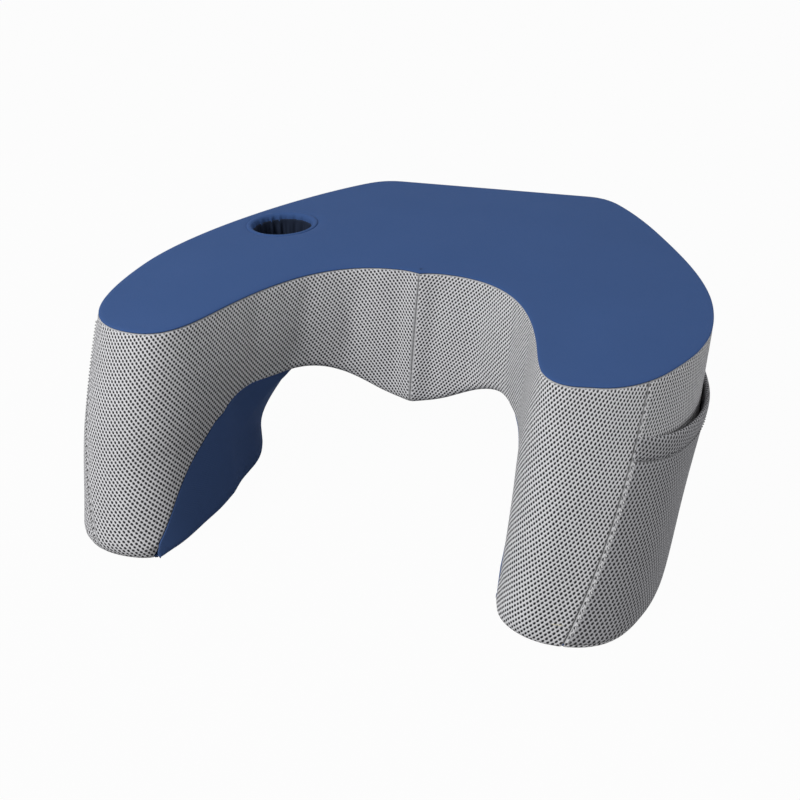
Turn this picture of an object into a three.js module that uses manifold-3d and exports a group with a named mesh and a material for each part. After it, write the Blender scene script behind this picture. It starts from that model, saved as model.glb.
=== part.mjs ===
// Cushioned lap desk: a foam core cut to a U, covered in spacer mesh and blue fabric, with a flat work
// surface, a cup well, a side pocket, a double arch for the thighs and a zipped rear wall.
// Millimetres, +Z up, +X to the user's right, +Y away from the user. The origin is the middle of the
// footprint, on the floor.
import * as THREE from 'three';
import { mergeVertices } from 'three/addons/utils/BufferGeometryUtils.js';
import Module from 'manifold-3d';

const wasm = await Module();
wasm.setup();

// Overall sizes
const WIDTH = 584;
const HEIGHT = 196;
const TOP_DEPTH = 494;
const FOOT_REACH = 98;

// Plan of the work surface, measured out from the middle and forward from the rear edge
const REAR_EDGE = 236;
const REAR_CORNER_RUN = 45;
const REAR_CORNER_DROP = 24;
const WIDEST_AT = 340;
const TIP_SPACING = 424;
const WAIST_WIDTH = 304;
const WAIST_AT = 405;
const BELLY_AT = 279;
const BELLY_CUSP = 5;
const BELLY_CUSP_WIDTH = 48;

// How far each curve of the plan keeps the direction of its ends
const REAR_CORNER_EASE = 20;
const SIDE_REAR_EASE = 92;
const SIDE_SPLAY = 0.7;
const SIDE_FRONT_EASE = 105;
const ARM_OUTER_EASE = 95;
const TIP_OUTER_EASE = 60;
const TIP_INNER_EASE = 42;
const ARM_INNER_EASE = 42;
const ARM_INNER_SPLAY = 0.31;
const WAIST_EASE = 65;
const BELLY_EASE = 76;

// Cover
const MESH = 2.5;
const TOP_FABRIC = 4;
const UNDERSIDE_FABRIC = 1.6;
const EDGE_EASE = 3;
const WALL_BULGE = 4;
const FOOT_ROUND = 16;
const WALL_LIFT = 0.5;
const GAP = 0.3;
const FRONT_SEAM_TOP = 54;
const FRONT_SEAM_FOOT = 14;

// Space for the thighs, its crests and hump measured down from the work surface
const THIGH_CREST = 86;
const THIGH_HUMP = 126;
const LEG_GAP = 300;
const LEG_GAP_FRONT = 372;
const LEG_STRAIGHT_AT = 432;
const LEG_FLARE_AT = 400;
const LEG_END_AT = 200;
const LEG_FRONT_EASE = 50;
const LEG_FRONT_DRAW = 24;
const LEG_STRAIGHT_EASE = 22;
const LEG_FLARE_EASE = 60;
const LEG_END_EASE = 60;
const LEG_END_CLEAR = 14;
const SHOULDER_WIDTH = 14;
const SHOULDER_DROP = 16;
const CREST_FLAT = 6;
const CREST_EASE = 55;
const HUMP_EASE = 30;

// Cup well
const CUP_X = -199;
const CUP_AT = 188;
const CUP_BORE = 70;
const CUP_FLOOR = 66;
const CUP_DEPTH = 72;
const CUP_LINING = 1.6;
const CUP_BASE = 3;
const CUP_RIM = 4;
const CUP_RIM_EASE = 1;
const CUP_RIM_SINK = 0.4;

// Side pocket on the user's right, its lip measured down from the work surface
const POCKET_WIDTH = 215;
const POCKET_LIP = 46;
const POCKET_BOTTOM = 18;
const POCKET_HEM = 24;
const POCKET_STAND = 15;
const POCKET_RECESS = 6;
const POCKET_SET_BACK = 2;
const POCKET_CLEAR = 0.6;

// Zip along the rear wall, measured down from the work surface
const ZIP_AT = 46;
const ZIP_SLOT = 10;
const ZIP_TAPE = 14;
const ZIP_TAPE_THICK = 0.9;
const ZIP_PITCH = 4;
const ZIP_TOOTH = 1.5;
const ZIP_TOOTH_REACH = 2;
const ZIP_CORD = 1.6;
const ZIP_CHAIN_THICK = 2;
const ZIP_STOP = 4;
const ZIP_END = 6;
const SLIDER_LENGTH = 10;
const SLIDER_PLATE = 1.4;
const SLIDER_FLANGE = 1;
const SLIDER_SIDE_PLAY = 0.5;
const BAIL_LENGTH = 7;
const BAIL_HEIGHT = 3.6;
const BAIL_WALL = 1.3;
const BAIL_WIDTH = 2.6;
const PULL_LENGTH = 24;
const PULL_WIDTH = 7;
const PULL_THICK = 1.2;
const PULL_BAR = 1.2;
const PULL_PLAY = 0.4;

// Facets of the curved faces, and how far a cutting shape runs past what it cuts
const FACET = 18;
const RING_SIDES = 32;
const EDGE_STEPS = 3;
const WALL_ROWS = 4;
const HUMP_STEPS = 5;
const SHOULDER_STEPS = 4;
const TAPER_STEPS = 10;
const FLARE_STEPS = 8;
const POCKET_ROWS = 5;
const HEM_ROWS = 1;
const MERGE = 1e-4;
const CUT_PAST = 60;

// Solids from closed meshes, and back
function toSolid(geometry) {
  const bare = geometry.clone();
  bare.deleteAttribute('normal');
  bare.deleteAttribute('uv');
  const merged = mergeVertices(bare, MERGE);
  return new wasm.Manifold(new wasm.Mesh({
    numProp: 3,
    vertProperties: new Float32Array(merged.attributes.position.array),
    triVerts: new Uint32Array(merged.index.array),
  }));
}

function toGeometry(solid) {
  const mesh = solid.getMesh();
  const geometry = new THREE.BufferGeometry();
  geometry.setAttribute('position', new THREE.BufferAttribute(mesh.vertProperties.slice(), 3));
  geometry.setIndex(new THREE.BufferAttribute(mesh.triVerts.slice(), 1));
  geometry.computeVertexNormals();
  return geometry;
}

// A closed mesh from points and triangles
function fromTriangles(points, triangles) {
  const geometry = new THREE.BufferGeometry();
  geometry.setAttribute('position', new THREE.Float32BufferAttribute(points.flat(), 3));
  geometry.setIndex(triangles.flat());
  return geometry;
}

// A solid skinned over a stack of rings with equal counts, closed by flat caps. Rings run counter-clockwise
// seen from the last ring, and capPlane picks the two coordinates that a cap is flat in.
function skinRings(rings, capPlane) {
  const count = rings[0].length;
  const triangles = [];
  for (let ring = 0; ring + 1 < rings.length; ring += 1) {
    for (let k = 0; k < count; k += 1) {
      const a = ring * count + k;
      const b = ring * count + (k + 1) % count;
      triangles.push([a, b, b + count], [a, b + count, a + count]);
    }
  }
  const last = (rings.length - 1) * count;
  const capOf = (ring) => THREE.ShapeUtils.triangulateShape(
    ring.map((point) => new THREE.Vector2(point[capPlane[0]], point[capPlane[1]])), []);
  capOf(rings[0]).forEach(([a, b, c]) => triangles.push([c, b, a]));
  capOf(rings.at(-1)).forEach(([a, b, c]) => triangles.push([last + a, last + b, last + c]));
  return fromTriangles(rings.flat(), triangles);
}

// A curved sheet with thickness: outer and inner give the two faces at column i and row j
function thickSheet(columns, rows, outer, inner) {
  const points = [];
  for (const face of [outer, inner]) {
    for (let j = 0; j <= rows; j += 1) {
      for (let i = 0; i <= columns; i += 1) {
        points.push(face(i / columns, j / rows));
      }
    }
  }
  const wide = columns + 1;
  const behind = wide * (rows + 1);
  const triangles = [];
  const quad = (a, b, c, d) => triangles.push([a, b, c], [a, c, d]);
  for (let j = 0; j < rows; j += 1) {
    for (let i = 0; i < columns; i += 1) {
      const a = j * wide + i;
      quad(a, a + 1, a + wide + 1, a + wide);
      quad(behind + a, behind + a + wide, behind + a + wide + 1, behind + a + 1);
    }
  }
  for (let i = 0; i < columns; i += 1) {
    const top = rows * wide + i;
    quad(i, behind + i, behind + i + 1, i + 1);
    quad(top, top + 1, behind + top + 1, behind + top);
  }
  for (let j = 0; j < rows; j += 1) {
    const left = j * wide;
    const right = left + columns;
    quad(left, left + wide, behind + left + wide, behind + left);
    quad(right, behind + right, behind + right + wide, right + wide);
  }
  return fromTriangles(points, triangles);
}

function boxBetween(low, high) {
  const size = high.map((value, axis) => value - low[axis]);
  const box = new THREE.BoxGeometry(...size);
  box.translate(...low.map((value, axis) => value + size[axis] / 2));
  return box;
}

// Plan of the right half, from the middle of the rear edge round the arm to the belly seam
function halfPlan() {
  const at = (x, forward) => new THREE.Vector2(x, -forward);
  const rearMiddle = at(0, 0);
  const rearEnd = at(REAR_EDGE / 2, 0);
  const cornerEnd = at(REAR_EDGE / 2 + REAR_CORNER_RUN, REAR_CORNER_DROP);
  const widest = at(WIDTH / 2, WIDEST_AT);
  const tip = at(TIP_SPACING / 2, TOP_DEPTH);
  const waist = at(WAIST_WIDTH / 2, WAIST_AT);
  const bellySide = at(BELLY_CUSP_WIDTH / 2, BELLY_AT);
  const bellySeam = at(0, BELLY_AT + BELLY_CUSP);
  const sideward = at(1, 0);
  const forward = at(0, 1);
  const alongSide = at(Math.sin(SIDE_SPLAY), Math.cos(SIDE_SPLAY));
  const alongArm = at(Math.sin(ARM_INNER_SPLAY), Math.cos(ARM_INNER_SPLAY));
  const step = (point, direction, length) => point.clone().addScaledVector(direction, length);
  const path = new THREE.CurvePath();
  path.add(new THREE.LineCurve(rearMiddle, rearEnd));
  path.add(new THREE.CubicBezierCurve(rearEnd, step(rearEnd, sideward, REAR_CORNER_EASE),
    step(cornerEnd, alongSide, -REAR_CORNER_EASE), cornerEnd));
  path.add(new THREE.CubicBezierCurve(cornerEnd, step(cornerEnd, alongSide, SIDE_REAR_EASE),
    step(widest, forward, -SIDE_FRONT_EASE), widest));
  path.add(new THREE.CubicBezierCurve(widest, step(widest, forward, ARM_OUTER_EASE),
    step(tip, sideward, TIP_OUTER_EASE), tip));
  path.add(new THREE.CubicBezierCurve(tip, step(tip, sideward, -TIP_INNER_EASE),
    step(waist, alongArm, ARM_INNER_EASE), waist));
  path.add(new THREE.CubicBezierCurve(waist, step(waist, alongArm, -WAIST_EASE),
    step(bellySide, sideward, BELLY_EASE), bellySide));
  path.add(new THREE.QuadraticBezierCurve(bellySide,
    at(BELLY_CUSP_WIDTH / 4, BELLY_AT), bellySeam));
  return path;
}

const plan = halfPlan();
const planEnds = plan.getCurveLengths();
const [rearEndAt, cornerEndAt, , tipAt, waistAt] = planEnds;
const planLength = planEnds.at(-1);

// Seams, as distances round the plan that change with height
const { lerp, clamp, smoothstep } = THREE.MathUtils;
const halfGap = GAP / 2;
const frontSeam = (height) => tipAt - lerp(FRONT_SEAM_FOOT, FRONT_SEAM_TOP, height / HEIGHT);
const pocketFront = (height) => frontSeam(height) - POCKET_SET_BACK;
const pocketRear = (height) => pocketFront(height) - POCKET_WIDTH;

// How open the pocket is at a place on the wall: none at its sewn edges, most at the middle of its lip
const wallTop = HEIGHT - TOP_FABRIC - GAP;
const lipHeight = HEIGHT - POCKET_LIP;
function pocketOpen(distance, height) {
  const share = (pocketFront(height) - distance) / POCKET_WIDTH;
  const below = (height - POCKET_BOTTOM) / (lipHeight - POCKET_BOTTOM);
  const above = (wallTop - height) / (wallTop - lipHeight);
  const rise = clamp(Math.min(below, above), 0, 1);
  return share > 0 && share < 1 ? rise * Math.sin(Math.PI * share) : 0;
}

// A point of the wall, at a distance round the plan (negative on the user's left) and a height, drawn in
// from the outer face by inset. The plan stretches forward towards the floor, so that the feet stand ahead
// of the arm tips; the walls swell a little at half height, except on the straight rear edge, round in under
// the feet, except on the inside of the legs, and give way behind the pocket.
function wallPoint(distance, height, inset) {
  const along = clamp(Math.abs(distance) / planLength, 0, 1);
  const base = plan.getPoint(along);
  const tangent = plan.getTangent(along);
  const round = along * planLength;
  const outward = new THREE.Vector2(-tangent.y, tangent.x);
  if (round > planLength - GAP) {
    outward.set(0, -1);
  }
  const stretch = 1 + (FOOT_REACH / TOP_DEPTH) * (1 - height / HEIGHT);
  const swell = WALL_BULGE * smoothstep(round, rearEndAt, cornerEndAt + FACET)
    * Math.sin(Math.PI * clamp(height / HEIGHT, 0, 1));
  const fall = Math.max(FOOT_ROUND - Math.max(height, WALL_LIFT), 0);
  const under = FOOT_ROUND - Math.sqrt(FOOT_ROUND ** 2 - fall ** 2);
  const tuck = under * (1 - smoothstep(round, tipAt, (tipAt + waistAt) / 2));
  const give = POCKET_RECESS * pocketOpen(distance, height);
  const out = swell - tuck - give - inset;
  const side = distance < 0 ? -1 : 1;
  return [side * (base.x + outward.x * out), base.y * stretch + outward.y * out, height];
}

// Values evenly spaced from one to another
function spread(from, to, steps) {
  return Array.from({ length: steps + 1 }, (unused, k) => lerp(from, to, k / steps));
}

// Heights of the rows of a wall, close together where it rounds in under the feet
const wallHeights = [WALL_LIFT, FOOT_ROUND / 6, FOOT_ROUND / 2, ...spread(FOOT_ROUND, wallTop, WALL_ROWS)];

// Stations round the plan at one height, evenly spaced between the seams, so that the cushion body and every
// cover panel share the same facets. Each run goes from the belly seam towards the rear edge.
function evenRun(from, to) {
  const count = Math.max(1, Math.ceil(Math.abs(from(0) - to(0)) / FACET));
  return (height) => spread(from(height), to(height), count);
}

const frontRun = evenRun(() => planLength, frontSeam);
const pocketRun = evenRun(pocketFront, pocketRear);
const behindPocketRun = evenRun(pocketRear, () => rearEndAt);
const sideRun = (height) => [frontSeam(height), ...pocketRun(height), ...behindPocketRun(height).slice(1)];
const trimmed = (run) => (height) => {
  const stations = run(height);
  return [stations[0] - halfGap, ...stations.slice(1, -1), stations.at(-1) + halfGap];
};

// The same run on the user's left, turned so that both go the same way round
const mirrored = (run) => (height) => run(height).map((distance) => -distance).reverse();

// The whole outline at one height, counter-clockwise from the belly seam round the user's right
function outlineRing(height, inset) {
  const right = [...frontRun(height), ...sideRun(height).slice(1)];
  const left = mirrored((level) => [...frontRun(level), ...sideRun(level).slice(1)])(height);
  return [...right, ...left.slice(0, -1)].map((distance) => wallPoint(distance, height, inset));
}

// One cover panel of the wall over a run of stations. inset gives the depth of its outer face.
function wallPanel(run, heights, inset = () => 0) {
  const columns = run(0).length - 1;
  const rows = heights.length - 1;
  const face = (depth) => (u, v) => {
    const height = heights[Math.round(v * rows)];
    const distance = run(height)[Math.round(u * columns)];
    return wallPoint(distance, height, inset(distance, height) + depth);
  };
  return thickSheet(columns, rows, face(0), face(MESH));
}

// Section of the space under the desk at one station: the hump between the thighs, the crest, the shoulder
// and the inner face of a leg that stands reach from the middle. rise moves the surface into the cushion.
const humpHeight = HEIGHT - THIGH_HUMP;
function thighSection(reach, y, rise) {
  const crestFrom = LEG_GAP / 2 - SHOULDER_WIDTH - CREST_FLAT;
  const face = reach + rise;
  const crest = HEIGHT - THIGH_CREST + rise;
  const at = (x, z) => new THREE.Vector2(x, z);
  const hump = new THREE.CubicBezierCurve(at(0, humpHeight + rise), at(HUMP_EASE, humpHeight + rise),
    at(crestFrom - CREST_EASE, crest), at(crestFrom, crest));
  const shoulderFrom = face - SHOULDER_WIDTH;
  const shoulder = new THREE.QuadraticBezierCurve(at(shoulderFrom, crest), at(face, crest),
    at(face, crest - SHOULDER_DROP));
  const outline = [...hump.getPoints(HUMP_STEPS), ...shoulder.getPoints(SHOULDER_STEPS), at(face, rise),
    at(WIDTH, rise)];
  const right = outline.map((point) => [point.x, y, point.y]);
  const left = outline.slice(1).map((point) => [-point.x, y, point.y]).reverse();
  return [...left, ...right, [WIDTH, y, -CUT_PAST], [-WIDTH, y, -CUT_PAST]];
}

function thighSpace(rise) {
  const at = (reach, forward) => new THREE.Vector2(reach, -forward);
  const front = TOP_DEPTH + FOOT_REACH;
  const straight = at(LEG_GAP / 2, LEG_STRAIGHT_AT);
  const flare = at(LEG_GAP / 2, LEG_FLARE_AT);
  const legFront = at(LEG_GAP_FRONT / 2, front);
  const legEnd = at(WIDTH / 2 + LEG_END_CLEAR, LEG_END_AT);
  const taper = new THREE.CubicBezierCurve(legFront,
    at(LEG_GAP_FRONT / 2 - LEG_FRONT_DRAW, front - LEG_FRONT_EASE),
    at(LEG_GAP / 2, LEG_STRAIGHT_AT + LEG_STRAIGHT_EASE), straight);
  const sweep = new THREE.CubicBezierCurve(flare, at(LEG_GAP / 2, LEG_FLARE_AT - LEG_FLARE_EASE),
    at(WIDTH / 2 - LEG_END_EASE, LEG_END_AT + LEG_END_EASE), legEnd);
  const stations = [at(LEG_GAP_FRONT / 2, front + CUT_PAST), ...taper.getPoints(TAPER_STEPS),
    ...sweep.getPoints(FLARE_STEPS), at(WIDTH / 2 + LEG_END_CLEAR, -CUT_PAST)];
  const rings = stations.map((station) => thighSection(station.x, station.y, rise));
  return toSolid(skinRings(rings, [2, 0]));
}

// Cushion body and its cover
const zipHeight = HEIGHT - ZIP_AT;
const inside = MESH + GAP;
const bodyRings = [-FOOT_ROUND, ...wallHeights].map((height) => outlineRing(height, inside));
const bodySpace = toSolid(skinRings(bodyRings, [0, 1]));
const thighs = thighSpace(0);
const cupDeep = wallTop - CUP_DEPTH;

// A round piece about the axis of the cup well, from a closed profile of radius and height pairs
function roundCup(profile) {
  const geometry = new THREE.LatheGeometry(profile.map(([r, z]) => new THREE.Vector2(r, z)), RING_SIDES);
  geometry.rotateX(Math.PI / 2);
  geometry.translate(CUP_X, -CUP_AT, 0);
  return toSolid(geometry);
}

function makeFoam() {
  const clear = CUP_LINING + GAP;
  const [floor, bore] = [CUP_FLOOR / 2 + clear, CUP_BORE / 2 + clear];
  const bottom = cupDeep - CUP_BASE - 2 * GAP;
  const well = roundCup([[0, bottom], [floor, bottom], [floor, cupDeep], [bore, wallTop], [bore, HEIGHT],
    [0, HEIGHT]]);
  const tapeBack = -inside - ZIP_TAPE_THICK - GAP;
  const zipRecess = toSolid(boxBetween([-REAR_EDGE, tapeBack, zipHeight - ZIP_TAPE - GAP],
    [REAR_EDGE, MESH, zipHeight + ZIP_TAPE + GAP]));
  return bodySpace.subtract(thighSpace(UNDERSIDE_FABRIC + GAP)).subtract(well).subtract(zipRecess);
}

function makeUnderside() {
  return thighSpace(UNDERSIDE_FABRIC).subtract(thighs).intersect(bodySpace);
}

function makeTopPanel() {
  const rings = spread(0, Math.PI / 2, EDGE_STEPS).map((turn) => (
    outlineRing(HEIGHT - TOP_FABRIC * (1 - Math.sin(turn)), EDGE_EASE * (1 - Math.cos(turn)))));
  const plate = toSolid(skinRings(rings, [0, 1]));
  const hole = CUP_BORE / 2 + CUP_RIM;
  return plate.subtract(roundCup([[0, wallTop], [hole, wallTop], [hole, HEIGHT + GAP], [0, HEIGHT + GAP]]));
}

function makeWallMesh(run, side) {
  const panel = trimmed(run);
  return toSolid(wallPanel(side > 0 ? panel : mirrored(panel), wallHeights)).subtract(thighs);
}

function makeRearMesh(low, high) {
  const reach = rearEndAt - halfGap;
  return toSolid(wallPanel(() => [reach, -reach], [low, high])).subtract(thighs);
}

// Side pocket: a second layer of mesh that stands off the wall at its mouth
function pocketDepth(distance, height) {
  return -(POCKET_CLEAR + MESH + POCKET_STAND * pocketOpen(distance, height));
}

function makePocket(low, high, rows) {
  return toSolid(wallPanel(pocketRun, spread(low, high, rows), pocketDepth));
}

// Cup well
function makeCupLining() {
  const [floor, bore] = [CUP_FLOOR / 2, CUP_BORE / 2];
  return roundCup([[floor, cupDeep], [floor + CUP_LINING, cupDeep], [bore + CUP_LINING, wallTop],
    [bore, wallTop], [floor, cupDeep]]);
}

function makeCupBase() {
  const radius = CUP_FLOOR / 2 + CUP_LINING;
  const top = cupDeep - GAP;
  return roundCup([[0, top - CUP_BASE], [radius, top - CUP_BASE], [radius, top], [0, top]]);
}

function makeCupRim() {
  const inner = CUP_BORE / 2;
  const outer = inner + CUP_RIM - GAP;
  const [low, high] = [HEIGHT - TOP_FABRIC, HEIGHT - CUP_RIM_SINK];
  const shoulder = high - CUP_RIM_EASE;
  return roundCup([[inner, low], [outer, low], [outer, shoulder], [outer - CUP_RIM_EASE, high],
    [inner + CUP_RIM_EASE, high], [inner, shoulder], [inner, low]]);
}

// Zip: two tapes behind the edges of the rear mesh, and a toothed chain in the slot between them
const chainBack = -MESH;
const chainFront = chainBack + ZIP_CHAIN_THICK;
const chainHalf = ZIP_TOOTH_REACH / 2 + GAP + ZIP_CORD;
const chainEnd = REAR_EDGE / 2 - ZIP_END - ZIP_STOP;

function makeZipTape(side) {
  const edges = [zipHeight + side * halfGap, zipHeight + side * ZIP_TAPE].sort((a, b) => a - b);
  const reach = REAR_EDGE / 2 - GAP;
  return toSolid(boxBetween([-reach, -inside - ZIP_TAPE_THICK, edges[0]], [reach, -inside, edges[1]]));
}

function makeZipChain(side) {
  const teeth = Math.floor((2 * chainEnd - ZIP_PITCH) / ZIP_PITCH);
  const shift = side > 0 ? 0 : ZIP_PITCH / 2;
  const root = ZIP_TOOTH_REACH / 2 + GAP;
  const tip = -ZIP_TOOTH_REACH / 2;
  const comb = new THREE.Shape();
  comb.moveTo(-chainEnd, root);
  for (let k = 0; k < teeth; k += 1) {
    const x = -chainEnd + ZIP_PITCH / 4 + shift + k * ZIP_PITCH;
    comb.lineTo(x, root);
    comb.lineTo(x, tip);
    comb.lineTo(x + ZIP_TOOTH, tip);
    comb.lineTo(x + ZIP_TOOTH, root);
  }
  comb.lineTo(chainEnd, root);
  comb.lineTo(chainEnd, chainHalf);
  comb.lineTo(-chainEnd, chainHalf);
  const chain = new THREE.ExtrudeGeometry(comb, { depth: ZIP_CHAIN_THICK, bevelEnabled: false });
  chain.rotateX(Math.PI / 2);
  chain.translate(0, chainFront, 0);
  if (side < 0) {
    chain.rotateY(Math.PI);
  }
  chain.translate(0, 0, zipHeight);
  return toSolid(chain);
}

function makeZipStop(end, low, high) {
  const xs = [end * (chainEnd + GAP), end * (chainEnd + ZIP_STOP)].sort((a, b) => a - b);
  return toSolid(boxBetween([xs[0], chainBack, zipHeight + low], [xs[1], chainFront, zipHeight + high]));
}

// Slider: a channel over the chain with a bail for the pull tab
const sliderBack = chainFront + GAP;
const sliderFront = sliderBack + SLIDER_PLATE;
const sliderHalf = chainHalf + SLIDER_SIDE_PLAY + SLIDER_FLANGE;
const sliderX = chainEnd - SLIDER_LENGTH / 2;
const pullY = sliderFront + (BAIL_HEIGHT - BAIL_WALL) / 2;

function makeSlider() {
  const [low, high] = [sliderX - SLIDER_LENGTH / 2, sliderX + SLIDER_LENGTH / 2];
  const body = toSolid(boxBetween([low, chainBack + GAP, zipHeight - sliderHalf],
    [high, sliderFront, zipHeight + sliderHalf]));
  const play = chainHalf + SLIDER_SIDE_PLAY;
  const channel = toSolid(boxBetween([low - GAP, chainBack - GAP, zipHeight - play],
    [high + GAP, sliderBack, zipHeight + play]));
  const bail = toSolid(boxBetween([sliderX - BAIL_LENGTH / 2, sliderFront - GAP, zipHeight - BAIL_WIDTH / 2],
    [sliderX + BAIL_LENGTH / 2, sliderFront + BAIL_HEIGHT, zipHeight + BAIL_WIDTH / 2]));
  const eye = toSolid(boxBetween([sliderX - BAIL_LENGTH / 2 + BAIL_WALL, sliderFront, zipHeight - BAIL_WIDTH],
    [sliderX + BAIL_LENGTH / 2 - BAIL_WALL, sliderFront + BAIL_HEIGHT - BAIL_WALL, zipHeight + BAIL_WIDTH]));
  return body.subtract(channel).add(bail.subtract(eye));
}

function makePull() {
  const [back, front] = [pullY - PULL_THICK / 2, pullY + PULL_THICK / 2];
  const end = sliderX + PULL_BAR / 2;
  const tab = toSolid(boxBetween([end - PULL_LENGTH, back, zipHeight - PULL_WIDTH / 2],
    [end, front, zipHeight + PULL_WIDTH / 2]));
  const swing = Math.hypot(BAIL_LENGTH / 2, sliderFront + BAIL_HEIGHT - pullY);
  const holeHalf = BAIL_WIDTH / 2 + PULL_PLAY;
  const hole = toSolid(boxBetween([sliderX - swing - PULL_PLAY, back - GAP, zipHeight - holeHalf],
    [end - PULL_BAR, front + GAP, zipHeight + holeHalf]));
  return tab.subtract(hole);
}

// Finishes
const blue = { color: 0x3f5f96, roughness: 0.8 };
const deepBlue = { color: 0x2b3c66, roughness: 0.85 };
const greyMesh = { color: 0xa4a4a6, roughness: 0.9 };
const darkMesh = { color: 0x77777a, roughness: 0.9 };
const foam = { color: 0xe9e2c8, roughness: 0.95 };
const tape = { color: 0x6f7074, roughness: 0.85 };
const nylon = { color: 0x55565a, roughness: 0.5 };
const zinc = { color: 0x8d9095, roughness: 0.35, metalness: 1 };

const desk = new THREE.Group();
function addPart(name, solid, finish) {
  const mesh = new THREE.Mesh(toGeometry(solid), new THREE.MeshStandardMaterial(finish));
  mesh.name = name;
  desk.add(mesh);
}

addPart('foam_core', makeFoam(), foam);
addPart('top_panel', makeTopPanel(), blue);
addPart('underside_panel', makeUnderside(), deepBlue);
for (const [name, side] of [['left', -1], ['right', 1]]) {
  addPart(`front_mesh_${name}`, makeWallMesh(frontRun, side), greyMesh);
  addPart(`side_mesh_${name}`, makeWallMesh(sideRun, side), greyMesh);
}
addPart('rear_mesh_upper', makeRearMesh(zipHeight + ZIP_SLOT / 2, wallTop), greyMesh);
addPart('rear_mesh_lower', makeRearMesh(humpHeight / 2, zipHeight - ZIP_SLOT / 2), greyMesh);
const hemHeight = lipHeight - POCKET_HEM;
addPart('pocket_panel', makePocket(POCKET_BOTTOM, hemHeight - GAP, POCKET_ROWS), darkMesh);
addPart('pocket_hem', makePocket(hemHeight, lipHeight, HEM_ROWS), darkMesh);
addPart('cup_lining', makeCupLining(), deepBlue);
addPart('cup_base', makeCupBase(), deepBlue);
addPart('cup_rim', makeCupRim(), blue);
addPart('zip_tape_upper', makeZipTape(1), tape);
addPart('zip_tape_lower', makeZipTape(-1), tape);
addPart('zip_teeth_upper', makeZipChain(1), nylon);
addPart('zip_teeth_lower', makeZipChain(-1), nylon);
addPart('zip_top_stop_upper', makeZipStop(1, halfGap, chainHalf), zinc);
addPart('zip_top_stop_lower', makeZipStop(1, -chainHalf, -halfGap), zinc);
addPart('zip_bottom_stop', makeZipStop(-1, -chainHalf, chainHalf), zinc);
addPart('zip_slider', makeSlider(), zinc);
addPart('zip_pull', makePull(), zinc);

// The origin is the middle of the footprint
const bounds = new THREE.Box3().setFromObject(desk);
const middle = bounds.getCenter(new THREE.Vector3());
desk.position.set(-middle.x, -middle.y, -bounds.min.z);
desk.updateMatrixWorld(true);

export default desk;
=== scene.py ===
import math

import bmesh
import bpy
import numpy as np
from mathutils import Matrix, Vector
from mathutils.geometry import delaunay_2d_cdt


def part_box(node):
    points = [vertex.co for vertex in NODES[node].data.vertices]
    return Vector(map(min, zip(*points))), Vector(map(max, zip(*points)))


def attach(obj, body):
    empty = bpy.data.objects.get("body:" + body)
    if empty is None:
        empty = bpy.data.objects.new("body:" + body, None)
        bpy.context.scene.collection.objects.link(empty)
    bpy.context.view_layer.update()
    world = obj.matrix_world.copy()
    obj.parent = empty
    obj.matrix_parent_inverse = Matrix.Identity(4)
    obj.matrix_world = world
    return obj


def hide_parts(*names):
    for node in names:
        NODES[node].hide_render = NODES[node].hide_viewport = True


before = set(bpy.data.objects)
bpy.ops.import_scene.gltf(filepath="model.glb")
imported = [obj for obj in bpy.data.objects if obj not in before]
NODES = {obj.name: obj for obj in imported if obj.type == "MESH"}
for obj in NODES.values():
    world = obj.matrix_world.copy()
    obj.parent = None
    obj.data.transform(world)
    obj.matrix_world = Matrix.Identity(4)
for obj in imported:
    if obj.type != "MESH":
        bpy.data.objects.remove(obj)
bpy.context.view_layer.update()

TOP_LOW, TOP_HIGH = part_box("top_panel")
CUP_LOW, CUP_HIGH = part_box("cup_lining")
RIM_LOW, RIM_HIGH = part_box("cup_rim")
CUP_BASE_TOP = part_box("cup_base")[1].z

# Every length here is in metres. Plan sizes run forward from the rear edge and out from the middle.
# A name that ends in FROM gives where a form starts to fade in and where it is whole, and one that ends in
# TO the same for fading out. One that ends in OVER gives both of these pairs.
MIDDLE = (TOP_LOW.x + TOP_HIGH.x) / 2
REAR = TOP_HIGH.y
HEIGHT = TOP_HIGH.z
WALL_TOP = HEIGHT - 0.0024
TOP_DEPTH = 0.494
FOOT_REACH = 0.098
REAR_HALF = 0.118
CORNER = (0.163, 0.024)
WIDEST = (0.292, 0.340)
TIP_X = 0.212
WAIST = (0.152, 0.405)
BELLY = (0.024, 0.279)
CUSP = 0.005
SIDE_SPLAY = 0.7
ARM_SPLAY = 0.31

# Handles at the two ends of each curve of the plan
REAR_HANDLES = (0.020, 0.020)
SIDE_HANDLES = (0.092, 0.105)
TIP_HANDLES = (0.095, 0.060)
ARM_HANDLES = (0.042, 0.042)
BELLY_HANDLES = (0.065, 0.076)

# Section of the wall. Stations run round the plan from the middle of the rear edge.
WALL_BULGE = 0.004
BULGE_PAST_CORNER = 0.018
FOOT_ROUND = 0.016
SOLE_AT = 0.0005
PROBE = 0.0006

# Thigh space
CREST = 0.1095
HUMP = 0.0625
CREST_AT = 0.140
LEG_GAP = 0.150
SHOULDER_FRONT = (0.014, 0.020)
SHOULDER_REAR = (0.066, 0.060)
SHOULDER_FROM = (-0.430, -0.310)
HAUNCH = 0.040
HAUNCH_OVER = (0.105, 0.165), (0.19, 0.23)
HAUNCH_FROM = (0.004, 0.045)
HAUNCH_TO = (-0.31, -0.23)
FOOT_FILLET = 0.006
FILLET_OVER = (0.0, 0.06), (0.94, 1.0)
REAR_LEAN = 0.032
REAR_LEAN_FROM = (-0.33, -0.26)

# How far the underside stands over the mesh at the rear seam of a leg, how soon, and how far it fades
REAR_PLUMP = (0.0065, 0.005, 0.040)

# How far each foot leans inward behind its tip and at its tip
FOOT_LEAN = {1: (0.011, 0.012), -1: (0.011, 0.018)}
LEAN_HEIGHT, LEAN_POWER = 0.085, 1.3
LEAN_FROM, LEAN_TIP_FROM = (0.42, 0.50), (0.49, 0.56)
LEAN_OVER = (0.10, 0.135), (0.175, 0.265)

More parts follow.
